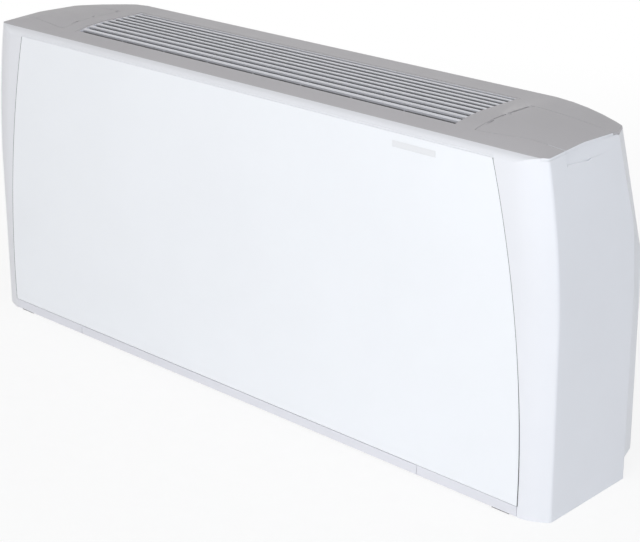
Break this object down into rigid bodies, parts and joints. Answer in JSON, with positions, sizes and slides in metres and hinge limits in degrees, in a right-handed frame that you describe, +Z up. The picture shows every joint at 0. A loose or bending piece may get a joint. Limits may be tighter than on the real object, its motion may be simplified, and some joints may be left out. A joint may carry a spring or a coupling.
{
  "type": "fan coil unit",
  "caption": "Wall-hung fan coil unit: white front, swept side panels, grey crowned top with a slotted outlet grille, hinged end flaps and a slide-out filter.",
  "frame": {"origin": "under the middle of the cabinet's box, on the plane of its feet", "axes": "X along the width toward the electrics' end, Y from the front panel back to the wall, Z up"},
  "size_m": [1.2, 0.225, 0.53],
  "materials": {
    "white_paint": "satin powder coat on sheet steel",
    "white_plastic": "fine satin moulding",
    "grey_plastic": "fine satin moulding",
    "pale_plastic": "smooth moulding",
    "dark_plastic": "plain moulding",
    "rubber": "plain",
    "filter_cloth": "woven mesh",
    "foam": "closed cell foam",
    "galvanised": "galvanised sheet",
    "bright_steel": "zinc plated",
    "motor_paint": "satin paint",
    "fin_aluminium": "thin rolled sheet",
    "copper": "drawn copper tube",
    "brass": "machined"
  },
  "bodies": {
    "cabinet": {"front_panel": "white_paint", "badge_plate": "grey_plastic", "front_top_rail": "white_plastic", "left_side_panel": "white_plastic", "right_side_panel": "white_plastic", "top_cover": "grey_plastic", "outlet_grille": "pale_plastic", "left_hinge_pin": "bright_steel", "right_hinge_pin": "bright_steel", "left_base_rail": "pale_plastic", "right_base_rail": "pale_plastic", "foot_pads": "rubber", "filter_guides": "dark_plastic", "intake_frame": "galvanised", "left_chassis_plate": "galvanised", "right_chassis_plate": "galvanised", "back_plate": "galvanised", "fan_deck": "galvanised", "front_baffle": "galvanised", "insulation": "foam", "side_brackets": "galvanised", "bracket_screws": "bright_steel", "left_fan_housing": "dark_plastic", "right_fan_housing": "dark_plastic", "motor": "motor_paint", "motor_bearings": "brass", "motor_mounts": "rubber", "motor_bracket": "galvanised", "capacitor": "pale_plastic", "coil_fins": "fin_aluminium", "coil_tubes": "copper", "coil_end_plates": "galvanised", "inlet_header": "brass", "outlet_header": "brass", "air_vents": "brass", "drain_pan": "dark_plastic", "terminal_box": "dark_plastic", "terminal_box_lid": "dark_plastic", "cable_gland": "dark_plastic", "control_plate": "pale_plastic"},
    "rotor": {"motor_shaft": "bright_steel", "left_impeller": "dark_plastic", "right_impeller": "dark_plastic"},
    "left_flap_body": {"left_flap": "grey_plastic"},
    "right_flap_body": {"right_flap": "grey_plastic"},
    "filter": {"filter_bar": "pale_plastic", "filter_frame": "dark_plastic", "filter_mesh": "filter_cloth"},
    "thermostat": {"thermostat_knob": "dark_plastic"},
    "speed": {"speed_knob": "dark_plastic"}
  },
  "joints": [
    {"name": "fan_spin", "type": "hinge", "parent": "cabinet", "child": "rotor", "pos_m": [0, -0.0045, 0.116], "axis": [1, 0, 0], "continuous": true},
    {"name": "left_flap_hinge", "type": "hinge", "parent": "cabinet", "child": "left_flap_body", "pos_m": [-0.4388, 0.0228, 0.527], "axis": [0, 1, 0], "range_deg": [0, 95]},
    {"name": "right_flap_hinge", "type": "hinge", "parent": "cabinet", "child": "right_flap_body", "pos_m": [0.4388, 0.0228, 0.527], "axis": [0, -1, 0], "range_deg": [0, 95]},
    {"name": "filter_slide", "type": "slide", "parent": "cabinet", "child": "filter", "axis": [0, -1, 0], "range_m": [0, 0.18]},
    {"name": "thermostat_turn", "type": "hinge", "parent": "cabinet", "child": "thermostat", "pos_m": [0.475, -0.0105, 0.492], "axis": [0, 0, 1], "range_deg": [-135, 135]},
    {"name": "speed_turn", "type": "hinge", "parent": "cabinet", "child": "speed", "pos_m": [0.522, -0.0105, 0.492], "axis": [0, 0, 1], "range_deg": [-60, 60]}
  ]
}
